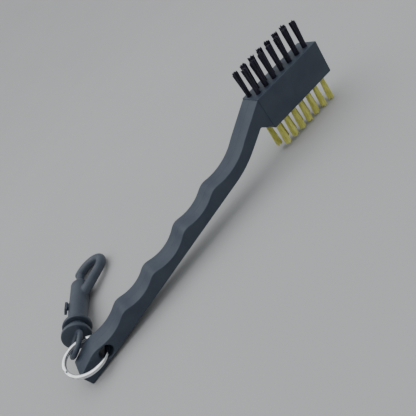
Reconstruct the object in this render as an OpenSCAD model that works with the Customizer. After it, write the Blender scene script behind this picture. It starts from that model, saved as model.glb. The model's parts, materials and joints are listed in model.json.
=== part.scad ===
// Club groove brush: a moulded handle with nylon tufts on one face of its head and brass wire
// tufts on the other, and a swivel snap hook that hangs from a split ring in its tail.
// The brush stands on its wire tufts and on the lower corner of its tail. +X runs from tail to
// head, +Z is up, and the snap hook lies behind the brush, towards +Y.

/* [Handle] */
// Width of the grip and neck
grip_w = 11.6; // [10:0.1:11.8]
// Radius of the bend under the neck
neck_bend_r = 46; // [36:1:50]
// Length of the straight underside, from the tail to the bend
underside_l = 102.5; // [98:0.5:105]
// Radius of the lanyard hole
lanyard_hole_r = 3.1; // [3.1:0.05:3.3]
// Pitch of the handle above the table
pitch = 6.29; // [6.28:0.01:6.6]

/* [Head] */
// Length of the head block
head_l = 38; // [37.5:0.1:39]
// Height of the head block between its two tufted faces
head_h = 15.84; // [15:0.02:17]
// Width of the head block
head_w = 12.2; // [12:0.1:12.6]
// Angle by which the head leans down from the line of the handle
head_lean = 9.44; // [9:0.02:10]

/* [Tufts] */
// Distance between tufts along the head
tuft_pitch = 5.08; // [5:0.02:5.2]
// Distance of each row from the middle of the head
row_offset = 2.3; // [2.2:0.05:2.5]
// How far the row at +Y is set back towards the tail
row_stagger = 2; // [0:0.1:2.2]
// Length of a tuft beyond the face of the head
tuft_l = 12.7; // [11:0.1:12.8]
// Radius of a tuft where it leaves the head
tuft_root_r = 1.2; // [1.1:0.05:1.35]
// Radius of a tuft at its tip
tuft_tip_r = 1.6; // [1.4:0.05:2]
// Depth of the drilled tuft holes
tuft_hole_depth = 6; // [5:0.1:7]

/* [Split ring] */
// Radius of the middle of the ring's wire
ring_r = 9.22; // [9:0.02:9.4]
// Width of the flat wire, outwards from the centre
ring_wire_w = 1.6; // [1.2:0.1:1.7]
// Thickness of one turn of the flat wire
ring_wire_t = 0.8; // [0.6:0.05:0.85]

/* [Snap hook] */
// Radius of the swivel disc and of the barrel's flange
flange_r = 6.7; // [6.5:0.1:7]
// Radius of the barrel
barrel_r = 4.7; // [4.5:0.1:5]
// Distance that the thumb slide travels
bolt_travel = 6.5; // [5:0.1:6.5]

/* [Hidden] */
$fn = 64;
clear = 0.05;               // running clearance of a turned fit
bite = 0.02;                // how far one piece of a body reaches into the next
over = 1;                   // how far a cut runs past what it cuts

// Where the origin lies, measured from the tail's lower corner
origin_x = 83.3;
origin_y = 31.1;

// The crests of the finger grip, [distance from the tail, height], and the depth of each hollow
crests = [[11.9, 9.1], [31.6, 8.9], [50.9, 8.0], [73.1, 7.9], [93.75, 7.9], [119.5, 9.6]];
hollow_depth = [2.3, 2.55, 3.25, 2.4, 2.85];
crest_land = 0.5;           // half the length of the flat that is left on each crest
tail_top = [0.4, 7.0];
neck_rise = 20;             // slope of the neck's underside
gusset_foot = [127.7, 6.2]; // where the neck's underside meets the web to the head
head_mid = [152.22, 4.905]; // middle of the head block
hole_at = [14.12, 3.94];    // lanyard hole, from the tail's lower corner

// Tufts on each face, in two rows
tufts_per_row = 7;
tufts = 2 * tufts_per_row;
anchor = [3, 0.3, 1.6];     // staple across a tuft hole: length, thickness, height
anchor_up = 0.1;            // the staple's height over the bottom of its hole

// Split ring
ring_tilt = 19.85;          // how far its far side is raised about the lanyard hole
ring_roll = 10.8;           // how far it is rolled across the hole
ring_sag = 1.15;            // the wire's offset, mid-hole, from the hole's axis towards the head
ring_start = 200;           // where round the ring its wire begins
ring_steps = 40;            // steps to a turn
ring_gap = 0.06;            // gap between the two turns

// Snap hook, along its own axis from the face of the swivel disc
hook_at = [6.27, 14.6, 9.17];
hook_turn = 15.05;          // how far the hook points away from +Y, towards +X
hook_dip = 5.95;            // how far it dips to the table
disc_t = 2.2;               // thickness of the swivel disc
eye_r = 5.2;                // radius of the middle of the eye's loop
eye_wire_r = 1.2;
eye_out = 5;                // middle of the loop, ahead of the disc
eye_roll = 26.3;            // how far the loop is turned about the hook's axis
collar_r = 4.5;             // neck between the disc and the barrel's flange
stem_r = 1.9;
flange_x = 6.6;
flange_t = 2;
wall_end = 10.5;             // inside face of the barrel's rear wall
washer_t = 0.8;
washer_gap = 0.2;           // between the washer and the bore
stem_proud = 0.6;           // how far the stem stands out of its washer
stem_end = wall_end + washer_t + stem_proud;
bore_r = 2.9;
bore_end = 41;
barrel_end = 42;
nose_cone_end = 45.8;
nose_cone_r = 2.9;
bolt_r = 2.2;
bolt_head_x = 21.6;         // rear face of the bolt's head, against which the spring pushes
bolt_head_l = 14.4;
bolt_tip = 53;
tab_turn = 43;              // the thumb tab's place round the barrel, from the top away from the crook
tab_x = 22;
tab_l = 5.8;
tab_heel = 2.5;             // how far the tab reaches back past its post
tab_post = [3.2, 2.2];      // the post's length along the slot, and its width
slot_spare = 0.4;           // how much longer the slot is than the travel, at each end
slot_l = tab_post.x + bolt_travel + 2 * slot_spare;
tab_gap = 0.5;              // between the barrel and the tab
tab_t = 1.3;
tab_w = 3.6;
limb_r = 2.6;               // half the thickness of the crook
limb_ease = 0.03;           // the straight stretches are this much slimmer than the bend
limb_lap = 0.4;             // how far the straight limb reaches into the bend
limb_lean = 38;             // the straight limb's angle from the hook's axis
limb_start = [33, 4, 0];
limb_l = 15.5;
limb_way = [cos(limb_lean), sin(limb_lean), 0];
limb_end = limb_start + limb_l * limb_way;
bend_r = 8.4;
bend_stop = -52;            // where the bend ends, round its middle
bend_mid = limb_end + bend_r * [sin(limb_lean), -cos(limb_lean), 0];
bend_end = bend_mid + bend_r * [cos(bend_stop), sin(bend_stop), 0];
nose_l = 1.6;               // straight stretch from the bend to the rounded nose
nose_end = bend_end + nose_l * [sin(bend_stop), -cos(bend_stop), 0];
spring_wire_r = 0.25;
spring_turns = 5;
spring_steps = 14;          // steps to a turn
spring_sides = 6;           // sides of its wire
spring_side_gap = 0.15;     // between the spring and the bore
spring_rear_gap = 0.45;     // between the stem's end and the spring
spring_head_gap = 0.1;      // between the spring and the bolt's head

// ---- frames -------------------------------------------------------------------------------

// From the tail's lower corner, mid-width, to the origin
module from_tail() {
    translate([-origin_x, -origin_y, 0])
        children();
}

// The handle's own frame: X along the underside, Z square to it
module handle_frame() {
    from_tail()
        rotate([0, -pitch, 0])
            children();
}

// The head's own frame, at the middle of the block
module head_frame() {
    handle_frame()
        translate([head_mid.x, 0, head_mid.y])
            rotate([0, head_lean, 0])
                children();
}

// A tuft's frame: Z out of the face, from the mouth of its hole. side is 1 on top and -1 below
module tuft_frame(i, side) {
    near = i < tufts_per_row;
    along = (i % tufts_per_row - (tufts_per_row - 1) / 2) * tuft_pitch - (near ? 0 : row_stagger);
    across = (near ? -1 : 1) * row_offset;
    head_frame()
        translate([along, across, side * head_h / 2])
            rotate([side > 0 ? 0 : 180, 0, 0])
                children();
}

// The split ring's frame: centre of the ring, Z along its normal, X back to the lanyard hole
module ring_frame() {
    handle_frame()
        translate([hole_at.x, 0, hole_at.y])
            rotate([0, pitch + ring_tilt, 0])
                rotate([ring_roll, 0, 0])
                    translate([ring_sag - ring_r, 0, 0])
                        children();
}

// The hook's frame: X along its axis from the swivel disc's face, Y towards the crook
module hook_frame() {
    from_tail()
        translate(hook_at)
            rotate([0, 0, 90 - hook_turn])
                rotate([0, hook_dip, 0])
                    mirror([0, 1, 0])
                        children();
}

// Extrudes an outline in X and Z to the given width, about mid-width
module slab(width) {
    rotate([90, 0, 0])
        linear_extrude(width, center = true)
            children();
}

// A cylinder along X
module rod(r, from, to) {
    translate([from, 0, 0])
        rotate([0, 90, 0])
            cylinder(r = r, h = to - from);
}

// ---- handle -------------------------------------------------------------------------------

// The circle of the hollow between two crests, which leaves a land on each of them
module hollow(crest_a, crest_b, depth) {
    land = crest_land * (crest_b - crest_a) / norm(crest_b - crest_a);
    a = crest_a + land;
    b = crest_b - land;
    chord = norm(b - a);
    r = (chord * chord / 4 + depth * depth) / (2 * depth);
    up = [a.y - b.y, b.x - a.x] / chord;
    centre = (a + b) / 2 + up * (r - depth);
    translate(centre)
        circle(r, $fn = 180);
}

module grip_outline() {
    bend_end = underside_l + neck_bend_r * sin(neck_rise);
    difference() {
        polygon(concat(
            [[0, 0]],
            [for (t = [0:4:neck_rise])
                [underside_l + neck_bend_r * sin(t), neck_bend_r * (1 - cos(t))]],
            [gusset_foot, [140, 4], [150, 10], [134.9, 15.6]],
            [for (i = [len(crests) - 1:-1:0]) crests[i]],
            [tail_top]));
        for (i = [0:len(crests) - 2])
            hollow(crests[i], crests[i + 1], hollow_depth[i]);
    }
}

module web_outline() {
    polygon([gusset_foot, [131.6, 1.4], [136, 4], [136, 12], [124, 8]]);
}

// The staple at the bottom of a tuft's hole, its ends pressed into the hole's wall
module staple() {
    translate([0, 0, -tuft_hole_depth + anchor_up + anchor.z / 2])
        cube(anchor, center = true);
}

module tuft_holes(side) {
    for (i = [0:tufts - 1])
        tuft_frame(i, side) {
            translate([0, 0, -tuft_hole_depth])
                cylinder(r = tuft_root_r, h = tuft_hole_depth + over);
            staple();
        }
}

module handle() {
    color([0.13, 0.17, 0.25])
        difference() {
            union() {
                handle_frame()
                    slab(grip_w) {
                        grip_outline();
                        web_outline();
                    }
                head_frame()
                    cube([head_l, head_w, head_h], center = true);
            }
            handle_frame()
                translate([hole_at.x, 0, hole_at.y])
                    rotate([90, 0, 0])
                        cylinder(r = lanyard_hole_r, h = grip_w + 2 * over, center = true);
            tuft_holes(1);
            tuft_holes(-1);
        }
}

// ---- tufts --------------------------------------------------------------------------------

module tuft(i, side) {
    tuft_frame(i, side)
        difference() {
            union() {
                translate([0, 0, -tuft_hole_depth])
                    cylinder(r = tuft_root_r, h = tuft_hole_depth);
                cylinder(r1 = tuft_root_r, r2 = tuft_tip_r, h = tuft_l);
            }
            staple();
        }
}

module nylon_tuft(i) {
    color([0.09, 0.09, 0.14])
        tuft(i, 1);
}

module brass_tuft(i) {
    color([0.75, 0.68, 0.28])
        tuft(i, -1);
}

// The staples of all the tufts on one face
module anchors(side) {
    color([0.75, 0.75, 0.77])
        for (i = [0:tufts - 1])
            tuft_frame(i, side)
                staple();
}

// ---- split ring ---------------------------------------------------------------------------

// One flat wire wound twice, so that its turns lie on each other
function ring_height(step) = (step / ring_steps - 1) * (ring_wire_t + ring_gap);
function ring_corner(step, out, up) =
    let (a = 360 * step / ring_steps, r = ring_r + out * ring_wire_w / 2)
    [r * cos(a), r * sin(a), ring_height(step) + up * ring_wire_t / 2];

module split_ring() {
    steps = 2 * ring_steps - 2;
    points = [for (s = [0:steps], c = [[-1, -1], [1, -1], [1, 1], [-1, 1]])
        ring_corner(s + 1, c.x, c.y)];
    sides = [for (s = [0:steps - 1], k = [0:3])
        [4 * s + k, 4 * s + (k + 1) % 4, 4 * s + 4 + (k + 1) % 4, 4 * s + 4 + k]];
    ends = [[3, 2, 1, 0], [for (k = [0:3]) 4 * steps + k]];
    color([0.8, 0.81, 0.82])
        ring_frame()
            rotate([0, 0, ring_start])
                polyhedron(points, concat(sides, ends));
}

// ---- swivel -------------------------------------------------------------------------------

module swivel_eye() {
    color([0.2, 0.24, 0.3])
        hook_frame() {
            rod(flange_r, 0, disc_t);
            rotate([eye_roll, 0, 0])
                translate([-eye_out, 0, 0])
                    rotate_extrude($fn = 96)
                        translate([eye_r, 0])
                            circle(eye_wire_r, $fn = 32);
            rod(collar_r, disc_t, flange_x - clear);
            rod(stem_r, flange_x - clear, stem_end);
        }
}

// Pushed on the end of the stem, it keeps the stem in the barrel's rear wall
module stem_washer() {
    color([0.7, 0.7, 0.72])
        hook_frame()
            difference() {
                rod(bore_r - washer_gap, wall_end + clear, wall_end + clear + washer_t);
                rod(stem_r, wall_end - over, stem_end + over);
            }
}

// ---- hook ---------------------------------------------------------------------------------

// A piece of the crook's round limb, curved about a centre in the plane of the hook
module limb_arc(centre, r, from, sweep) {
    translate(centre)
        rotate([0, 0, from])
            rotate_extrude(angle = sweep, $fn = 96)
                translate([r, 0])
                    circle(limb_r, $fn = 32);
}

module limb_rod(from, to) {
    step = to - from;
    translate(from)
        rotate([0, 0, atan2(step.y, step.x)])
            rod(limb_r - limb_ease, 0, norm(step));
}

module crook() {
    limb_rod(limb_start, limb_end + limb_lap * limb_way);
    limb_arc(bend_mid, bend_r, bend_stop, 90 + limb_lean - bend_stop);
    limb_rod(bend_end, nose_end);
    translate(nose_end)
        sphere(limb_r, $fn = 48);
}

module hook_body() {
    color([0.2, 0.24, 0.3])
        hook_frame()
            difference() {
                union() {
                    rod(flange_r, flange_x, flange_x + flange_t);
                    rod(barrel_r, flange_x + flange_t - bite, barrel_end);
                    translate([barrel_end, 0, 0])
                        rotate([0, 90, 0])
                            cylinder(r1 = barrel_r, r2 = nose_cone_r, h = nose_cone_end - barrel_end);
                    crook();
                }
                rod(stem_r + clear, flange_x - over, wall_end + over);
                rod(bore_r, wall_end, bore_end);
                rod(bolt_r + clear, bore_end - over, bolt_tip + clear);
                rotate([tab_turn, 0, 0])
                    translate([tab_x - bolt_travel - slot_spare, -tab_post.y / 2 - clear, 0])
                        cube([slot_l, tab_post.y + 2 * clear, barrel_r + over]);
            }
}

// ---- bolt ---------------------------------------------------------------------------------

module slide_bolt() {
    color([0.2, 0.24, 0.3])
        hook_frame()
            difference() {
                union() {
                    rod(bore_r - clear, bolt_head_x, bolt_head_x + bolt_head_l);
                    rod(bolt_r, bolt_head_x, bolt_tip);
                }
                tab_post_shape();
            }
}

// The post that joins the thumb tab to the bolt, from the bolt's middle outwards
module tab_post_shape() {
    rotate([tab_turn, 0, 0])
        translate([tab_x, -tab_post.y / 2, 0])
            cube([tab_post.x, tab_post.y, barrel_r + tab_gap + tab_t / 2]);
}

module thumb_tab() {
    color([0.2, 0.24, 0.3])
        hook_frame() {
            tab_post_shape();
            rotate([tab_turn, 0, 0])
                translate([tab_x - tab_heel, -tab_w / 2, barrel_r + tab_gap])
                    cube([tab_l, tab_w, tab_t]);
        }
}

// A point of the spring's wire: at a step along its coil, at angle a round the wire
function spring_point(step, a) =
    let (t = 360 * step / spring_steps,
         rear = stem_end + spring_rear_gap,
         run = bolt_head_x - spring_head_gap - 2 * spring_wire_r - rear,
         x = rear + run * step / (spring_turns * spring_steps),
         r = bore_r - spring_side_gap - spring_wire_r + spring_wire_r * cos(a))
    [x + spring_wire_r + spring_wire_r * sin(a), r * cos(t), r * sin(t)];

module bolt_spring() {
    steps = spring_turns * spring_steps;
    n = spring_sides;
    points = [for (s = [0:steps], k = [0:n - 1]) spring_point(s, 360 * k / n)];
    sides = [for (s = [0:steps - 1], k = [0:n - 1])
        [n * s + k, n * s + (k + 1) % n, n * s + n + (k + 1) % n, n * s + n + k]];
    ends = [[for (k = [n - 1:-1:0]) k], [for (k = [0:n - 1]) n * steps + k]];
    color([0.75, 0.75, 0.77])
        hook_frame()
            polyhedron(points, concat(sides, ends));
}

handle();
split_ring();
swivel_eye();
stem_washer();
hook_body();
slide_bolt();
thumb_tab();
bolt_spring();
anchors(1);  // nylon_anchors
anchors(-1);  // brass_anchors
for (i = [1:tufts]) nylon_tuft(i - 1);
for (i = [1:tufts]) brass_tuft(i - 1);
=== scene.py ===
"""The looks of a club groove brush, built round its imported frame. Lengths are in metres."""

import json
import math
import random

import bmesh
import bpy
from mathutils import Matrix, Vector


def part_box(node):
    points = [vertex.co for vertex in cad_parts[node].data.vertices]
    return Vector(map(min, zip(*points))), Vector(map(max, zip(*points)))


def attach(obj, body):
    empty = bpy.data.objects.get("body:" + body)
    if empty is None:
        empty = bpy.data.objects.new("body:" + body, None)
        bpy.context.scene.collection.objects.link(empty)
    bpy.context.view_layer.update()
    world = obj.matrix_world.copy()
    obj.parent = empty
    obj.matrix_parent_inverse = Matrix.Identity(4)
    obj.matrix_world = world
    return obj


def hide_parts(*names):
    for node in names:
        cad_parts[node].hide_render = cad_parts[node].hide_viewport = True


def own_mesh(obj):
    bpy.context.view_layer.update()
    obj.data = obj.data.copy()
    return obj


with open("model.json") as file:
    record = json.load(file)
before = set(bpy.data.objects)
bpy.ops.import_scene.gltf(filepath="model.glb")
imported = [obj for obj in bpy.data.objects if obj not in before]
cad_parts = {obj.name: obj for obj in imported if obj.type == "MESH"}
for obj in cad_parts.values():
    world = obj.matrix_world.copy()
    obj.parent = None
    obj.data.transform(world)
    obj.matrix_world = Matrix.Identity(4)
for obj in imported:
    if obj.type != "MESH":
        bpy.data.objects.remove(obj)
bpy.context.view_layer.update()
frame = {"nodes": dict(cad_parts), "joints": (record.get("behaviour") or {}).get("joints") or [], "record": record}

MM = 0.001
JOINTS = {j["name"]: j for j in frame["joints"]}
MOUNTS = {m["name"]: m for m in frame["record"]["mounts"]}

# Camera, light and floor
CAMERA_AT = (-0.02412, -0.19377, 0.11006)
CAMERA_TURN = (49.889, 36.645, -36.169)     # degrees about X, Y and Z
CAMERA_LENS = 38.1
SENSOR_WIDTH = 36
SKY_COLOR = (0.93, 0.97, 1.0, 1)
SKY_STRENGTH = 0.78
FLOOR_FLAT = 0.45               # radius of the flat middle of the floor
FLOOR_RISE = 1.1                # radius of the curve round it
FLOOR_SIDES = 96

# Handle
SIDE_ROUND = 0.35 * MM          # rounding of the long edges
CAP_MARGIN = 0.12 * MM          # flat ring that keeps a side face's shading flat
PARTING_H = 0.05 * MM           # height of the mould's parting line
PARTING_W = 0.12 * MM
OUTLINE_STEP = 0.5 * MM
CORNER = math.radians(14)       # a sharper turn than this is a corner of the outline
GENTLE = math.radians(48)       # corners below this are the crests of the grip
CREST_REACH = 3.0 * MM
CORNER_PASSES = 1               # easing of every corner of an outline
CREST_PASSES = 26               # easing of the grip's crests
GRIP_INTO_HEAD = 2.5 * MM       # how far the grip runs on into the head
HOLE_CHAMFER = 0.45 * MM
TUFTS = 14

# Bundles of filaments
HOLE_R = 1.2 * MM
HOLE_DEPTH = 6.0 * MM
DRILL_SIDES = 40
ROOT_DEPTH = 2.0 * MM           # how far a filament is drawn down its hole
ROOT_FILL = 0.97                # share of the hole that the filaments fill
CUT_SPREAD = 0.9 * MM           # unevenness of the cut ends
FAN = 1.15                      # above 1, a filament spreads mostly near its tip
CRIMP_TURNS = 21

# Split ring
RING_WIRE_W = 1.6 * MM
RING_WIRE_T = 0.8 * MM
RING_GAP = 0.06 * MM
RING_START = math.radians(209)  # where round the ring its wire begins, from the lanyard hole
RING_SWEEP = math.radians(702)
RING_EDGE = 0.34 * MM           # rounding of the wire's edges
RING_STEPS = 320

# Snap hook, along its axis from the face of the swivel disc
DISC_R = 6.7 * MM
DISC_T = 2.2 * MM
EYE_R = 5.2 * MM
EYE_WIRE_R = 1.2 * MM
EYE_OUT = 5.0 * MM
EYE_ROLL = math.radians(26.3)
COLLAR_R = 4.5 * MM
STEM_R = 1.87 * MM
STEM_END = 11.9 * MM
FLANGE_X = 6.6 * MM
FLANGE_T = 2.0 * MM
BARREL_R = 4.7 * MM
BARREL_END = 42.0 * MM
NOSE_END = 45.8 * MM
NOSE_R = 2.9 * MM
STEM_HOLE_R = 1.95 * MM
WALL_END = 10.5 * MM
BORE_R = 2.9 * MM
BORE_END = 41.0 * MM
BOLT_R = 2.2 * MM
BOLT_HEAD_X = 21.6 * MM
BOLT_HEAD_END = 36.0 * MM
BOLT_TIP = 53.0 * MM
RUNNING_CLEARANCE = 0.05 * MM
TAB_TURN = math.radians(43)
TAB_X = 22.0 * MM
TAB_HEEL = 2.5 * MM
TAB_L = 5.8 * MM
TAB_W = 3.6 * MM
TAB_T = 1.3 * MM
TAB_GAP = 0.5 * MM
POST_L = 3.2 * MM
POST_W = 2.2 * MM
SLOT_SPARE = 0.4 * MM
PAST = 1.0 * MM                 # how far a cut runs past what it cuts
LIMB_R = 2.6 * MM
LIMB_LEAN = math.radians(38)
LIMB_L = 15.5 * MM
LIMB_ROOT = 4.0 * MM            # how far the limb runs back into the barrel, so that no end shows
BEND_R = 8.4 * MM
BEND_STOP = math.radians(-52)
NOSE_L = 1.6 * MM


# ---- meshes ---------------------------------------------------------------------------------

def new_object(name, bm, matrix=None):
    """An object of the bmesh, placed by the matrix, with its faces turned outwards."""
    if matrix is not None:
        bm.transform(matrix)
    bmesh.ops.recalc_face_normals(bm, faces=bm.faces)
    mesh = bpy.data.meshes.new(name)
    bm.to_mesh(mesh)
    bm.free()
    obj = bpy.data.objects.new(name, mesh)
    bpy.context.scene.collection.objects.link(obj)
    return obj


def bake_modifiers(obj):
    """Applies the object's modifiers to its mesh."""
    bpy.context.view_layer.update()
    graph = bpy.context.evaluated_depsgraph_get()
    mesh = bpy.data.meshes.new_from_object(obj.evaluated_get(graph))
    obj.modifiers.clear()
    obj.data = mesh
    return obj


def combine(obj, other, operation):
    """Joins other to the object, or cuts it out, and removes it."""
    modifier = obj.modifiers.new("combine", "BOOLEAN")
    modifier.operation = operation
    modifier.solver = "EXACT"
    modifier.object = other
    bake_modifiers(obj)
    bpy.data.objects.remove(other)
    return obj


def fuse(obj, voxel, passes):
    """Melts overlapping shells into one, with small fillets where they meet."""
    remesh = obj.modifiers.new("fuse", "REMESH")
    remesh.mode = "VOXEL"
    remesh.voxel_size = voxel
    smooth = obj.modifiers.new("fillets", "SMOOTH")
    smooth.factor = 0.5
    smooth.iterations = passes
    return bake_modifiers(obj)


def shade(obj, degrees):
    obj.data.shade_smooth()
    obj.data.set_sharp_from_angle(angle=math.radians(degrees))
    return obj


def bridge(bm, rows, closed):
    """Quads between each row of vertices and the next."""
    for row, following in zip(rows, rows[1:]):
        count = len(row)
        for k in range(count if closed else count - 1):
            bm.faces.new((row[k], row[(k + 1) % count], following[(k + 1) % count], following[k]))


def turned(bm, profile, segments=96):
    """Adds a solid of revolution about X. The profile is (x, radius), from axis to axis."""
    start = bm.verts.new((profile[0][0], 0, 0))
    stop = bm.verts.new((profile[-1][0], 0, 0))
    rows = []
    for x, r in profile[1:-1]:
        turn = [2 * math.pi * k / segments for k in range(segments)]
        rows.append([bm.verts.new((x, r * math.cos(t), r * math.sin(t))) for t in turn])
    bridge(bm, rows, True)
    for k in range(segments):
        after = (k + 1) % segments
        bm.faces.new((start, rows[0][k], rows[0][after]))
        bm.faces.new((stop, rows[-1][after], rows[-1][k]))


def rounded(points, radius, steps=5):
    """The profile with its inner corners rounded, by no more than their sides allow."""
    result = [points[0]]
    for before, here, after in zip(points, points[1:], points[2:]):
        here = Vector(here)
        back = Vector(before) - here
        ahead = Vector(after) - here
        half = back.angle(ahead) / 2
        if math.degrees(half) > 85:
            result.append(tuple(here))
            continue
        reach = min(radius / math.tan(half), 0.45 * back.length, 0.45 * ahead.length)
        size = reach * math.tan(half)
        a = here + back.normalized() * reach
        b = here + ahead.normalized() * reach
        inward = (back.normalized() + ahead.normalized()).normalized()
        centre = here + inward * size / math.sin(half)
        for k in range(steps + 1):
            arm = (a - centre).lerp(b - centre, k / steps).normalized() * size
            result.append(tuple(centre + arm))
    result.append(points[-1])
    return result


def swept(bm, path, radius, normal, sides=32):
    """Adds a round rod along a plane path, with hemispheres on its ends."""
    rows = []
    for k, point in enumerate(path):
        way = (path[min(k + 1, len(path) - 1)] - path[max(k - 1, 0)]).normalized()
        across = way.cross(normal)
        turn = [2 * math.pi * s / sides for s in range(sides)]
        rows.append((point, way, [across * math.cos(t) + normal * math.sin(t) for t in turn]))
    rings = []
    caps = [math.radians(d) for d in (75, 60, 45, 30, 15)]
    for angle in caps:
        point, way, arms = rows[0]
        rings.append([point - way * radius * math.sin(angle) + a * radius * math.cos(angle)
                      for a in arms])
    rings += [[point + a * radius for a in arms] for point, way, arms in rows]
    for angle in reversed(caps):
        point, way, arms = rows[-1]
        rings.append([point + way * radius * math.sin(angle) + a * radius * math.cos(angle)
                      for a in arms])
    verts = [[bm.verts.new(p) for p in ring] for ring in rings]
    bridge(bm, verts, True)
    bm.faces.new(verts[0])
    bm.faces.new(verts[-1])


def hoop(bm, centre, x, y, radius, wire, segments=96, sides=32):
    """Adds a torus about the centre, in the plane of x and y."""
    z = x.cross(y)
    rows = []
    for k in range(segments):
        a = 2 * math.pi * k / segments
        out = x * math.cos(a) + y * math.sin(a)
        turn = [2 * math.pi * s / sides for s in range(sides)]
        rows.append([bm.verts.new(centre + out * (radius + wire * math.cos(t))
                                  + z * wire * math.sin(t)) for t in turn])
    bridge(bm, rows + rows[:1], True)


# ---- outlines -------------------------------------------------------------------------------

def side_loops(node, y):
    """The outlines, in X and Z, of a CAD node's flat faces at that y, the longest first."""
    bm = bmesh.new()
    bm.from_mesh(frame["nodes"][node].data)
    bmesh.ops.remove_doubles(bm, verts=bm.verts, dist=1e-6)
    flat = {f for f in bm.faces if all(abs(v.co.y - y) < 1e-5 for v in f.verts)}
    rim = [e for e in bm.edges if sum(f in flat for f in e.link_faces) == 1]
    after = {}
    for e in rim:
        for v in e.verts:
            after.setdefault(v, []).append(e.other_vert(v))
    loops = []
    while after:
        start = min(after, key=lambda v: (v.co.x, v.co.z))
        loop, here, before = [], start, None
        while here in after:
            loop.append(Vector((here.co.x, here.co.z)))
            choices = [v for v in after.pop(here) if v != before and v in after]
            before = here
            here = choices[0] if choices else None
        loops.append(loop)
    bm.free()
    return sorted(loops, key=lambda p: -sum((a - b).length for a, b in zip(p, p[1:])))


def anticlockwise(loop):
    area = sum(a.x * b.y - b.x * a.y for a, b in zip(loop, loop[1:] + loop[:1]))
    return loop if area > 0 else loop[::-1]


def turn_at(loop, k):
    back = loop[k] - loop[k - 1]
    ahead = loop[(k + 1) % len(loop)] - loop[k]
    return abs(back.angle_signed(ahead))


def flowing(loop):
    """The loop with its runs between corners made smooth and evenly stepped, and its corners."""
    count = len(loop)
    turns = [turn_at(loop, k) for k in range(count)]
    result, corners = [], []
    for k in range(count):
        a, b = loop[k], loop[(k + 1) % count]
        span = b - a
        along = span.normalized()
        start = (b - loop[k - 1]).normalized()
        stop = (loop[(k + 2) % count] - a).normalized()
        if turns[k] > CORNER:
            corners.append((a, turns[k]))
            start = along if turns[(k + 1) % count] > CORNER else 2 * along.dot(stop) * along - stop
        if turns[(k + 1) % count] > CORNER:
            stop = along if turns[k] > CORNER else 2 * along.dot(start) * along - start
        pieces = max(1, round(span.length / OUTLINE_STEP))
        for s in range(pieces):
            t = s / pieces
            result.append(a * (2 * t ** 3 - 3 * t ** 2 + 1) + b * (3 * t ** 2 - 2 * t ** 3)
                          + start * span.length * (t ** 3 - 2 * t ** 2 + t)
                          + stop * span.length * (t ** 3 - t ** 2))
    return result, corners


def eased(points, corners, passes, crest_passes):
    """Rounds the corners a little, and the crests of the grip more."""
    crests = [c for c, turn in corners if turn < GENTLE]
    near = [any((p - c).length < CREST_REACH for c in crests) for p in points]
    for step in range(crest_passes):
        points = [
            (points[k - 1] + 2 * p + points[(k + 1) % len(points)]) / 4
            if near[k] or step < passes else p
            for k, p in enumerate(points)]
    return points


def moulded(bm, outline, low, high, parting):
    """Adds the outline, in X and Z, extruded from low to high in Y, with rounded edges."""
    count = len(outline)
    outward = []
    for k in range(count):
        way = (outline[(k + 1) % count] - outline[k - 1]).normalized()
        outward.append(Vector((way.y, -way.x)))
    layers = [(0, SIDE_ROUND + CAP_MARGIN)]
    for degrees in (0, 22.5, 45, 67.5, 90):
        angle = math.radians(degrees)
        layers.append((SIDE_ROUND * (1 - math.cos(angle)), SIDE_ROUND * (1 - math.sin(angle))))
    middle = (high - low) / 2
    ridge = [(middle - PARTING_W, 0), (middle - PARTING_W / 2, -PARTING_H)] if parting else []
    half = layers + ridge
    whole = [(low + y, inset) for y, inset in half]
    whole += [(high - y, inset) for y, inset in reversed(half)]
    rows = []
    for y, inset in whole:
        ring = [p - n * inset for p, n in zip(outline, outward)]
        rows.append([bm.verts.new((q.x, y, q.y)) for q in ring])
    bridge(bm, rows, True)
    bm.faces.new(rows[0])
    bm.faces.new(rows[-1])


# ---- materials ------------------------------------------------------------------------------

def material(slot, color, second, patch, roughness, spread, grain, height,
             metallic=0.0, stretch=(1, 1, 1)):
    """A material for a slot of the record, with varied colour, roughness and relief."""
    mat = bpy.data.materials.new("fine_" + slot)
    mat["slot"] = slot
    mat.use_nodes = True
    nodes, links = mat.node_tree.nodes, mat.node_tree.links
    shader = nodes["Principled BSDF"]
    shader.inputs["Metallic"].default_value = metallic
    place = nodes.new("ShaderNodeTexCoord")
    mapping = nodes.new("ShaderNodeMapping")
    mapping.inputs["Scale"].default_value = stretch
    links.new(place.outputs["Object"], mapping.inputs["Vector"])

    def noise(size, detail):
        node = nodes.new("ShaderNodeTexNoise")
        node.inputs["Scale"].default_value = 1 / size
        node.inputs["Detail"].default_value = detail
        links.new(mapping.outputs["Vector"], node.inputs["Vector"])
        return node.outputs["Fac"]

    ramp = nodes.new("ShaderNodeValToRGB")
    ramp.color_ramp.elements[0].position = 0.35
    ramp.color_ramp.elements[0].color = (*color, 1)
    ramp.color_ramp.elements[1].position = 0.68
    ramp.color_ramp.elements[1].color = (*second, 1)
    links.new(noise(patch, 4), ramp.inputs["Fac"])
    links.new(ramp.outputs["Color"], shader.inputs["Base Color"])
    gloss = nodes.new("ShaderNodeMapRange")
    gloss.inputs["To Min"].default_value = roughness - spread
    gloss.inputs["To Max"].default_value = roughness + spread
    links.new(noise(patch / 3, 3), gloss.inputs["Value"])
    links.new(gloss.outputs["Result"], shader.inputs["Roughness"])
    bump = nodes.new("ShaderNodeBump")
    bump.inputs["Strength"].default_value = 0.6
    bump.inputs["Distance"].default_value = height
    links.new(noise(grain, 2), bump.inputs["Height"])
    links.new(bump.outputs["Normal"], shader.inputs["Normal"])
    return mat


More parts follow.
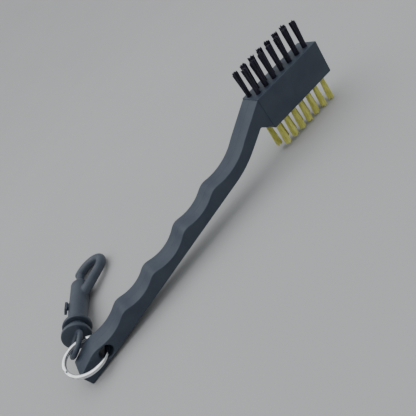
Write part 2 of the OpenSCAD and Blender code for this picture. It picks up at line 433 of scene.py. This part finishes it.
HANDLE = material("handle_plastic", (0.023, 0.034, 0.056), (0.034, 0.048, 0.068), 9 * MM,
                  0.46, 0.07, 0.28 * MM, 0.02 * MM)
HOOK = material("hook_plastic", (0.034, 0.044, 0.066), (0.046, 0.058, 0.080), 6 * MM,
                0.42, 0.06, 0.35 * MM, 0.012 * MM)
NYLON = material("nylon", (0.007, 0.006, 0.017), (0.026, 0.021, 0.046), 0.5 * MM,
                 0.38, 0.08, 0.12 * MM, 0.01 * MM, stretch=(1, 1, 0.12))
BRASS = material("brass", (0.64, 0.63, 0.13), (0.90, 0.88, 0.30), 0.45 * MM,
                 0.42, 0.1, 0.08 * MM, 0.006 * MM, metallic=0.12, stretch=(1, 1, 0.12))
CHROME = material("steel", (0.60, 0.61, 0.62), (0.78, 0.79, 0.80), 1.5 * MM,
                  0.12, 0.04, 0.1 * MM, 0.0015 * MM, metallic=1.0)
STAPLE = material("staple_wire", (0.55, 0.55, 0.56), (0.66, 0.66, 0.68), 0.6 * MM,
                  0.34, 0.07, 0.1 * MM, 0.002 * MM, metallic=1.0)


def finish_piece(obj, body, mat, *nodes):
    """Gives the piece its material and body, and hides the CAD nodes it stands for."""
    obj.data.materials.clear()
    obj.data.materials.append(mat)
    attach(obj, body)
    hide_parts(*nodes)


# ---- the camera, the light and the floor ----------------------------------------------------

def camera():
    data = bpy.data.cameras.new("camera")
    data.lens = CAMERA_LENS
    data.sensor_width = SENSOR_WIDTH
    obj = bpy.data.objects.new("camera", data)
    obj.location = CAMERA_AT
    obj.rotation_euler = [math.radians(a) for a in CAMERA_TURN]
    bpy.context.scene.collection.objects.link(obj)
    bpy.context.scene.camera = obj


def softbox(name, place, size, power):
    data = bpy.data.lights.new(name, "AREA")
    data.shape = "DISK"
    data.size = size
    data.energy = power
    obj = bpy.data.objects.new(name, data)
    obj.location = place
    obj.rotation_euler = (-Vector(place)).to_track_quat("-Z", "Y").to_euler()
    bpy.context.scene.collection.objects.link(obj)


def bowl(flat, rise):
    """A round floor that curves up all round, so that no horizon shows."""
    bm = bmesh.new()
    middle = bm.verts.new((0, 0, 0))
    rows = []
    for degrees in range(0, 64, 3):
        angle = math.radians(degrees)
        radius, height = flat + rise * math.sin(angle), rise * (1 - math.cos(angle))
        turn = [2 * math.pi * k / FLOOR_SIDES for k in range(FLOOR_SIDES)]
        rows.append([bm.verts.new((radius * math.cos(t), radius * math.sin(t), height))
                     for t in turn])
    bridge(bm, rows, True)
    for k in range(FLOOR_SIDES):
        bm.faces.new((middle, rows[0][k], rows[0][(k + 1) % FLOOR_SIDES]))
    obj = new_object("floor", bm)
    obj.data.shade_smooth()
    return obj


def studio():
    world = bpy.data.worlds.new("studio")
    bpy.context.scene.world = world
    world.use_nodes = True
    background = world.node_tree.nodes["Background"]
    background.inputs["Color"].default_value = SKY_COLOR
    background.inputs["Strength"].default_value = SKY_STRENGTH
    softbox("key", (-0.25, 0.25, 1.1), 1.5, 8.0)
    softbox("fill", (0.35, -0.4, 0.9), 0.8, 1.2)
    floor = bowl(FLOOR_FLAT, FLOOR_RISE)
    mat = material("floor", (0.40, 0.40, 0.40), (0.41, 0.41, 0.41), 80 * MM,
                   0.75, 0.03, 1 * MM, 0.004 * MM)
    floor.data.materials.append(mat)


# ---- the handle -----------------------------------------------------------------------------

def head_block():
    """The head's middle, its own X and Z axes, its length, height and the y of its sides."""
    low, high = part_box("handle")
    loop = side_loops("handle", low.y)[0]
    corners = [p for k, p in enumerate(loop) if turn_at(loop, k) > math.radians(45)]
    middle = sum(corners, Vector((0, 0))) / 4
    ordered = sorted(corners, key=lambda p: math.atan2(p.y - middle.y, p.x - middle.x))
    along = max((b - a for a, b in zip(ordered, ordered[1:] + ordered[:1])), key=lambda s: s.x)
    x = along.normalized()
    z = Vector((-x.y, x.x))
    across = [abs((p - middle).dot(z)) for p in corners]
    return middle, x, z, along.length, 2 * max(across), low.y, high.y


HEAD_MID, HEAD_X, HEAD_Z, HEAD_L, HEAD_H, HEAD_LOW, HEAD_HIGH = head_block()
MID_Y = (HEAD_LOW + HEAD_HIGH) / 2


def tuft_matrix(node, side):
    """A tuft's frame: Z out of the head from the mouth of its hole."""
    low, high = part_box(node)
    middle = (low + high) / 2
    along = (Vector((middle.x, middle.z)) - HEAD_MID).dot(HEAD_X)
    root = HEAD_MID + HEAD_X * along + HEAD_Z * side * HEAD_H / 2
    z = Vector((HEAD_Z.x, 0, HEAD_Z.y)) * side
    x = Vector((HEAD_X.x, 0, HEAD_X.y))
    turn = Matrix((x, z.cross(x), z)).transposed().to_4x4()
    return Matrix.Translation((root.x, middle.y, root.y)) @ turn


def on_head(point):
    """Whether a point of the grip's outline lies on the edge of the head's side."""
    away = point - HEAD_MID
    spare = 0.03 * MM
    return (abs(away.dot(HEAD_X)) < HEAD_L / 2 + spare
            and abs(away.dot(HEAD_Z)) < HEAD_H / 2 + spare)


def grip_outline(loop):
    """The grip's outline, which runs on into the head where it meets it."""
    loop = anticlockwise(loop)
    inner = [on_head(p) for p in loop]
    first = next(k for k in range(len(loop)) if inner[k] and not inner[k - 1])
    turned_loop = loop[first:] + loop[:first]
    meeting = [p for p in turned_loop if on_head(p)]
    rest = [p for p in turned_loop if not on_head(p)]
    deep = [p + (HEAD_MID - p).normalized() * GRIP_INTO_HEAD for p in (meeting[0], meeting[-1])]
    return [meeting[0], deep[0], deep[1], meeting[-1]] + rest


def handle():
    low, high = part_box("handle")
    depths = sorted({round(v.co.y, 6) for v in frame["nodes"]["handle"].data.vertices})
    grip_y = next(y for y in depths if y > low.y + 0.1 * MM)
    loops = side_loops("handle", grip_y)
    points, corners = flowing(grip_outline(loops[0]))
    outline = eased(points, corners, CORNER_PASSES, CREST_PASSES)
    bm = bmesh.new()
    moulded(bm, outline, grip_y, 2 * MID_Y - grip_y, True)
    obj = new_object("moulded_handle", bm)

    ends = [HEAD_MID + HEAD_X * sx * HEAD_L / 2 + HEAD_Z * sz * HEAD_H / 2
            for sx, sz in ((-1, -1), (1, -1), (1, 1), (-1, 1))]
    points, corners = flowing(ends)
    bm = bmesh.new()
    block = eased(points, corners, CORNER_PASSES, CORNER_PASSES)
    moulded(bm, block, HEAD_LOW, HEAD_HIGH, False)
    combine(obj, new_object("head", bm), "UNION")

    hole_at = Vector(JOINTS["ring_swing"]["pos_m"])
    middle = Vector((hole_at.x, hole_at.z))
    hole_r = max((p - middle).length for p in loops[1])
    half = MID_Y - grip_y
    flare = half - HOLE_CHAMFER
    past = 0.5 * MM
    profile = [(-half - past, 0), (-half - past, hole_r + HOLE_CHAMFER + past), (-flare, hole_r),
               (flare, hole_r), (half + past, hole_r + HOLE_CHAMFER + past), (half + past, 0)]
    bm = bmesh.new()
    turned(bm, profile)
    combine(obj, new_object("lanyard_hole", bm, Matrix.Translation(hole_at)
                            @ Matrix.Rotation(math.pi / 2, 4, "Z")), "DIFFERENCE")

    bm = bmesh.new()
    for side, kind in ((1, "nylon"), (-1, "brass")):
        for k in range(1, TUFTS + 1):
            drill = bmesh.ops.create_cone(bm, cap_ends=True, segments=DRILL_SIDES,
                                          radius1=HOLE_R, radius2=HOLE_R,
                                          depth=HOLE_DEPTH + PAST)["verts"]
            down = Matrix.Translation((0, 0, (PAST - HOLE_DEPTH) / 2))
            place = tuft_matrix(f"{kind}_tuft_{k}", side) @ down
            bmesh.ops.transform(bm, matrix=place, verts=drill)
    combine(obj, new_object("tuft_holes", bm), "DIFFERENCE")
    finish_piece(shade(obj, 32), "brush", HANDLE, "handle")


# ---- the tufts ------------------------------------------------------------------------------

def tuft(kind, k, side, mat, count, wire_r, sides, steps, crimp, wander):
    """A bundle of filaments that fans out from its hole, cut off unevenly at its tip."""
    node = f"{kind}_tuft_{k}"
    draw = random.Random(f"{kind} {k}")
    place = tuft_matrix(node, side)
    local = [place.inverted() @ v.co for v in frame["nodes"][node].data.vertices]
    length = max(v.z for v in local)
    tip_r = max(v.y for v in local)
    bm = bmesh.new()
    for f in range(count):
        share = math.sqrt((f + 0.5) / count)
        angle = f * math.pi * (3 - math.sqrt(5)) + draw.uniform(-0.15, 0.15)
        out = Vector((math.cos(angle), math.sin(angle), 0))
        root = out * share * (HOLE_R - wire_r) * ROOT_FILL
        tip = out * (share * (tip_r - wire_r) + draw.uniform(-wander, wander))
        tip += Vector((draw.uniform(-wander, wander), draw.uniform(-wander, wander), 0))
        height = length - draw.uniform(0, CUT_SPREAD) * (0.35 + share)
        phase = draw.uniform(0, 2 * math.pi)
        bow = Vector((draw.uniform(-1, 1), draw.uniform(-1, 1), 0)) * wander
        rows = []
        for s in range(steps + 1):
            t = s / steps
            z = -ROOT_DEPTH + (height + ROOT_DEPTH) * t
            free = max(z, 0) / height
            wave = Vector((math.cos(phase), math.sin(phase), 0)) * crimp
            wave *= math.sin(t * CRIMP_TURNS + phase)
            middle = root.lerp(tip, free ** FAN) + bow * math.sin(math.pi * free) + wave * free
            middle.z = z
            rows.append([bm.verts.new(middle + Vector((math.cos(a), math.sin(a), 0)) * wire_r)
                         for a in (2 * math.pi * q / sides + phase for q in range(sides))])
        bridge(bm, rows, True)
        bm.faces.new(rows[0])
        bm.faces.new(rows[-1])
    obj = new_object(f"{kind}_bristles_{k}", bm, place)
    finish_piece(shade(obj, 62), "brush", mat, node)


def tufts():
    for k in range(1, TUFTS + 1):
        tuft("nylon", k, 1, NYLON, 24, 0.2 * MM, 8, 6, 0.0, 0.07 * MM)
        tuft("brass", k, -1, BRASS, 66, 0.115 * MM, 6, 12, 0.045 * MM, 0.09 * MM)


# ---- the split ring -------------------------------------------------------------------------

def split_ring():
    """One flat wire wound twice. Its plane comes from the two joints that the wire carries."""
    pin = Vector(JOINTS["eye_swing"]["pos_m"])
    along = Vector(JOINTS["eye_swing"]["axis"]).normalized()
    hole = Vector(JOINTS["ring_swing"]["pos_m"])
    verts = [v.co for v in frame["nodes"]["split_ring"].data.vertices]
    low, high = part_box("split_ring")
    rough = (low + high) / 2
    out = pin - rough
    out = (out - along * out.dot(along)).normalized()
    reach = sum((v - rough).length for v in verts) / len(verts)
    centre = pin - out * reach
    normal = along.cross(out)
    if normal.z < 0:
        normal.negate()
    x = (hole - centre - normal * normal.dot(hole - centre)).normalized()
    y = normal.cross(x)
    radius = (pin - centre).length
    section = rounded_section(RING_WIRE_W / 2, RING_WIRE_T / 2, RING_EDGE)
    bm = bmesh.new()
    rows = []
    for k in range(RING_STEPS + 1):
        share = k / RING_STEPS
        a = RING_START + RING_SWEEP * share
        rise = (RING_WIRE_T + RING_GAP) * (RING_SWEEP * (share - 0.5) / (2 * math.pi))
        taper = min(1, 0.55 + 24 * min(share, 1 - share))
        arm = x * math.cos(a) + y * math.sin(a)
        rows.append([bm.verts.new(centre + arm * (radius + u * taper) + normal * (rise + v * taper))
                     for u, v in section])
    bridge(bm, rows, True)
    bm.faces.new(rows[0])
    bm.faces.new(rows[-1])
    finish_piece(shade(new_object("key_ring", bm), 50), "ring", CHROME, "split_ring")


def rounded_section(half_w, half_h, r):
    """A rectangle with rounded corners, about the origin."""
    points = []
    for sx, sy, start in ((1, 1, 0), (-1, 1, 90), (-1, -1, 180), (1, -1, 270)):
        for degrees in (0, 30, 60, 90):
            a = math.radians(start + degrees)
            points.append((sx * (half_w - r) + r * math.cos(a),
                           sy * (half_h - r) + r * math.sin(a)))
    return points


# ---- the snap hook --------------------------------------------------------------------------

def hook_matrix():
    """X along the hook from the disc's face, Y towards the crook, Z out of the crook's plane."""
    x = Vector(JOINTS["hook_swivel"]["axis"]).normalized()
    z = Vector(MOUNTS["hook_opening"]["axis"]).normalized()
    start = Vector(JOINTS["hook_swivel"]["pos_m"])
    bend = Vector(MOUNTS["hook_opening"]["pos_m"]) - start
    y = (bend - x * bend.dot(x) - z * bend.dot(z)).normalized()
    turn = Matrix((x, y, z)).transposed().to_4x4()
    return Matrix.Translation(start) @ turn, bend.dot(x), bend.dot(y)


HOOK_FRAME, BEND_X, BEND_Y = hook_matrix()


def swivel_eye():
    profile = [(0, 0), (0, DISC_R), (DISC_T, DISC_R), (DISC_T, COLLAR_R), (FLANGE_X, COLLAR_R),
               (FLANGE_X, STEM_R), (STEM_END, STEM_R), (STEM_END, 0)]
    bm = bmesh.new()
    turned(bm, rounded(profile, 0.4 * MM))
    y = Vector((0, math.cos(EYE_ROLL), math.sin(EYE_ROLL)))
    hoop(bm, Vector((-EYE_OUT, 0, 0)), Vector((1, 0, 0)), y, EYE_R, EYE_WIRE_R)
    obj = fuse(new_object("eye_and_disc", bm, HOOK_FRAME), 0.2 * MM, 3)
    finish_piece(shade(obj, 60), "eye", HOOK, "swivel_eye")


def crook_path():
    """The middle of the crook: up the straight limb, round the bend and down to the nose."""
    bend = Vector((BEND_X, BEND_Y, 0))
    way = Vector((math.cos(LIMB_LEAN), math.sin(LIMB_LEAN), 0))
    side = Vector((-math.sin(LIMB_LEAN), math.cos(LIMB_LEAN), 0))
    top = bend + side * BEND_R
    path = [top - way * (LIMB_L + LIMB_ROOT) * (1 - k / 12) for k in range(12)]
    sweep = math.pi / 2 + LIMB_LEAN - BEND_STOP
    for k in range(41):
        a = BEND_STOP + sweep * (1 - k / 40)
        path.append(bend + Vector((math.cos(a), math.sin(a), 0)) * BEND_R)
    down = Vector((math.sin(BEND_STOP), -math.cos(BEND_STOP), 0))
    path += [path[-1] + down * NOSE_L * k / 3 for k in (1, 2, 3)]
    return path


def hook_body():
    profile = [(FLANGE_X, 0), (FLANGE_X, DISC_R), (FLANGE_X + FLANGE_T, DISC_R),
               (FLANGE_X + FLANGE_T, BARREL_R), (BARREL_END, BARREL_R),
               (NOSE_END, NOSE_R), (NOSE_END, 0)]
    bm = bmesh.new()
    turned(bm, rounded(profile, 0.5 * MM))
    swept(bm, crook_path(), LIMB_R, Vector((0, 0, 1)))
    obj = fuse(new_object("hook_and_barrel", bm, HOOK_FRAME), 0.24 * MM, 9)
    hole = STEM_HOLE_R
    guide = BOLT_R + RUNNING_CLEARANCE
    bore = [(FLANGE_X - PAST, 0), (FLANGE_X - PAST, hole), (WALL_END, hole), (WALL_END, BORE_R),
            (BORE_END, BORE_R), (BORE_END, guide), (BOLT_TIP + RUNNING_CLEARANCE, guide),
            (BOLT_TIP + RUNNING_CLEARANCE, 0)]
    bm = bmesh.new()
    turned(bm, bore)
    combine(obj, new_object("bore", bm, HOOK_FRAME), "DIFFERENCE")
    travel = JOINTS["bolt_slide"]["range_m"][1]
    length = POST_L + travel + 2 * SLOT_SPARE
    bm = bmesh.new()
    bmesh.ops.create_cube(bm, size=1)
    reach = BARREL_R + PAST
    size = Matrix.Diagonal((length, POST_W + 2 * RUNNING_CLEARANCE, reach, 1))
    start = TAB_X - travel - SLOT_SPARE
    middle = Matrix.Translation((start + length / 2, 0, reach / 2))
    turn = HOOK_FRAME @ Matrix.Rotation(TAB_TURN, 4, "X")
    combine(obj, new_object("slot", bm, turn @ middle @ size), "DIFFERENCE")
    finish_piece(shade(obj, 40), "hook", HOOK, "hook_body")


def slide_bolt():
    head_r = BORE_R - RUNNING_CLEARANCE
    profile = [(BOLT_HEAD_X, 0), (BOLT_HEAD_X, head_r), (BOLT_HEAD_END, head_r),
               (BOLT_HEAD_END, BOLT_R), (BOLT_TIP, BOLT_R), (BOLT_TIP, 0)]
    bm = bmesh.new()
    turned(bm, rounded(profile, 0.5 * MM))
    finish_piece(shade(new_object("bolt", bm, HOOK_FRAME), 40), "bolt", HOOK, "slide_bolt")


def box_into(bm, low, high):
    """Adds a plain box, to be melted into its neighbours."""
    size = [b - a for a, b in zip(low, high)]
    middle = [(a + b) / 2 for a, b in zip(low, high)]
    verts = bmesh.ops.create_cube(bm, size=1)["verts"]
    place = Matrix.Translation(middle) @ Matrix.Diagonal((*size, 1))
    bmesh.ops.transform(bm, matrix=place, verts=verts)


def thumb_tab():
    base = BARREL_R + TAB_GAP
    bm = bmesh.new()
    heel = TAB_X - TAB_HEEL
    box_into(bm, (heel, -TAB_W / 2, base), (heel + TAB_L, TAB_W / 2, base + TAB_T))
    box_into(bm, (TAB_X, -POST_W / 2, 0), (TAB_X + POST_L, POST_W / 2, base + TAB_T / 2))
    turn = HOOK_FRAME @ Matrix.Rotation(TAB_TURN, 4, "X")
    obj = fuse(new_object("thumb_slide", bm, turn), 0.13 * MM, 5)
    finish_piece(shade(obj, 60), "bolt", HOOK, "thumb_tab")


def bolt_coil():
    """The bolt's spring, copied as it is from the CAD mesh onto the hook's body; in the real hook it is pressed
    towards its fixed end as the bolt comes back.
    """
    obj = bpy.data.objects.new("bolt_coil", frame["nodes"]["bolt_spring"].data.copy())
    bpy.context.scene.collection.objects.link(obj)
    finish_piece(obj, "hook", CHROME, "bolt_spring")
    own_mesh(obj)


def inner_pieces():
    """The CAD pieces that stay as they are, with their own finish."""
    dress("stem_washer", CHROME)
    for node in ("nylon_anchors", "brass_anchors"):
        dress(node, STAPLE)


def dress(node, mat):
    obj = frame["nodes"][node]
    obj.data.materials.clear()
    obj.data.materials.append(mat)


camera()
studio()
handle()
tufts()
split_ring()
swivel_eye()
hook_body()
slide_bolt()
thumb_tab()
bolt_coil()
inner_pieces()
